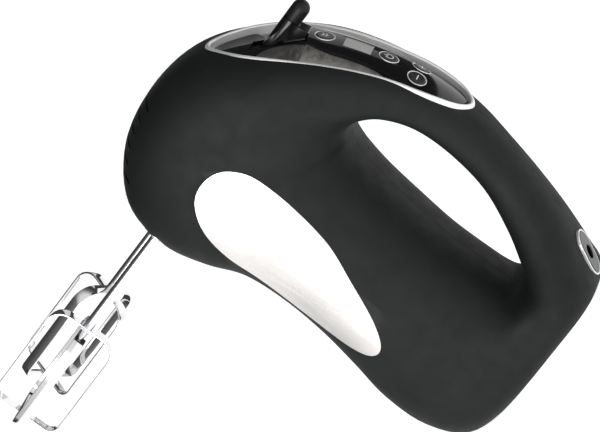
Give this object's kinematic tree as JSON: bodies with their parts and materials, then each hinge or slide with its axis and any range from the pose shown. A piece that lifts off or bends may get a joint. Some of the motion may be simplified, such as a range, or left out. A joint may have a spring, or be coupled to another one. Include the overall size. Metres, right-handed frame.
{
  "type": "hand mixer",
  "caption": "Hand mixer resting on its flat heel, with a closed loop handle, a framed control panel, a sprung release lever and a pair of crossed-strip beaters.",
  "frame": {"origin": "centre line of the flat heel, in the heel's plane", "axes": "+Z from the heel to the nose, -X along the beaters, +X out of the handle's back where the control panel is, +Y to the mixer's right"},
  "size_m": [0.2529, 0.087, 0.2145],
  "materials": {
    "casing_black": "soft-touch matt",
    "satin_steel": "satin",
    "panel_grey": "satin metallic paint",
    "gloss_black": "gloss",
    "trim_chrome": "polished",
    "display": "clear front",
    "circuit_board": "varnished",
    "black_plastic": "satin",
    "button_black": "satin",
    "lever_black": "semi-gloss",
    "grip_rubber": "dotted",
    "plain_steel": "ground",
    "cast_grey": "glass-filled",
    "core_iron": "laminated",
    "copper": "enamelled",
    "bush_bronze": "sintered",
    "carbon": "dull",
    "white_plastic": "moulded",
    "beater_chrome": "polished",
    "capacitor_yellow": "gloss"
  },
  "bodies": {
    "mixer_body": {"left_housing": "casing_black", "right_housing": "casing_black", "left_side_inlay": "satin_steel", "right_side_inlay": "satin_steel", "panel_base": "panel_grey", "lever_surround": "gloss_black", "control_strip": "gloss_black", "panel_trim_ring": "trim_chrome", "button_bezels": "trim_chrome", "display_window": "display", "control_board": "circuit_board", "key_switches": "black_plastic", "lever_pin": "plain_steel", "eject_springs": "plain_steel", "gearbox_frame": "cast_grey", "gearbox_cover": "cast_grey", "gearbox_screws": "plain_steel", "lower_bushes": "bush_bronze", "upper_bushes": "bush_bronze", "socket_collars": "black_plastic", "motor_stator": "core_iron", "field_windings": "copper", "motor_bridge": "plain_steel", "motor_screws": "plain_steel", "front_bearing": "bush_bronze", "rear_bearing": "bush_bronze", "nose_bearing": "bush_bronze", "brush_holders": "bush_bronze", "carbon_brushes": "carbon", "power_board": "circuit_board", "suppression_capacitor": "capacitor_yellow", "cord_gland": "gloss_black", "gland_bezel": "trim_chrome", "housing_screws": "plain_steel"},
    "armature": {"armature_shaft": "plain_steel", "worm": "plain_steel", "armature_core": "core_iron", "armature_windings": "copper", "commutator": "copper", "cooling_fan": "white_plastic"},
    "left_drive": {"left_spindle": "plain_steel", "left_drive_gear": "white_plastic"},
    "right_drive": {"right_spindle": "plain_steel", "right_drive_gear": "white_plastic"},
    "left_beater": {"left_beater_shaft": "beater_chrome", "left_outer_hoop": "beater_chrome", "left_inner_hoop": "beater_chrome"},
    "right_beater": {"right_beater_shaft": "beater_chrome", "right_outer_hoop": "beater_chrome", "right_inner_hoop": "beater_chrome"},
    "eject_lever": {"eject_lever": "lever_black", "lever_cap": "grip_rubber"},
    "eject_pusher": {"eject_pusher": "white_plastic"},
    "boost_button": {"boost_button": "button_black"},
    "power_button": {"power_button": "button_black"},
    "minus_button": {"minus_button": "button_black"},
    "plus_button": {"plus_button": "button_black"}
  },
  "joints": [
    {"name": "armature_spin", "type": "hinge", "parent": "mixer_body", "child": "armature", "pos_m": [-0.02, 0, 0.173], "axis": [0, 0, 1], "continuous": true},
    {"name": "left_drive_spin", "type": "hinge", "parent": "mixer_body", "child": "left_drive", "pos_m": [-0.02, -0.021, 0.173], "axis": [1, 0, 0], "continuous": true},
    {"name": "right_drive_spin", "type": "hinge", "parent": "mixer_body", "child": "right_drive", "pos_m": [-0.02, 0.021, 0.173], "axis": [1, 0, 0], "continuous": true},
    {"name": "eject_lever_swing", "type": "hinge", "parent": "mixer_body", "child": "eject_lever", "pos_m": [0.032, 0, 0.178], "axis": [0, -1, 0], "range_deg": [0, 28.1]},
    {"name": "eject_pusher_slide", "type": "slide", "parent": "mixer_body", "child": "eject_pusher", "axis": [-1, 0, 0], "range_m": [0, 0.0074], "stiffness_N_per_m": 900, "springref_m": -0.004, "deforming": ["eject_springs"]},
    {"name": "left_beater_slide", "type": "slide", "parent": "left_drive", "child": "left_beater", "axis": [-1, 0, 0], "range_m": [0, 0.0075]},
    {"name": "right_beater_slide", "type": "slide", "parent": "right_drive", "child": "right_beater", "axis": [-1, 0, 0], "range_m": [0, 0.0075]},
    {"name": "boost_button_press", "type": "slide", "parent": "mixer_body", "child": "boost_button", "axis": [-0.9113, 0, -0.4117], "range_m": [0, 0.0008], "stiffness_N_per_m": 600, "springref_m": -0.0012},
    {"name": "power_button_press", "type": "slide", "parent": "mixer_body", "child": "power_button", "axis": [-0.9725, 0, -0.2328], "range_m": [0, 0.0008], "stiffness_N_per_m": 600, "springref_m": -0.0012},
    {"name": "minus_button_press", "type": "slide", "parent": "mixer_body", "child": "minus_button", "axis": [-0.9748, 0.1765, -0.1364], "range_m": [0, 0.0008], "stiffness_N_per_m": 600, "springref_m": -0.0012},
    {"name": "plus_button_press", "type": "slide", "parent": "mixer_body", "child": "plus_button", "axis": [-0.9748, -0.1765, -0.1364], "range_m": [0, 0.0008], "stiffness_N_per_m": 600, "springref_m": -0.0012}
  ],
  "couplings": [
    {"joint": "left_drive_spin", "follows": "armature_spin", "ratio": -0.076923},
    {"joint": "right_drive_spin", "follows": "armature_spin", "ratio": 0.076923},
    {"joint": "eject_lever_swing", "follows": "eject_pusher_slide", "rad_per_m": 66.039},
    {"joint": "left_beater_slide", "follows": "eject_pusher_slide", "ratio": 1},
    {"joint": "right_beater_slide", "follows": "eject_pusher_slide", "ratio": 1}
  ]
}
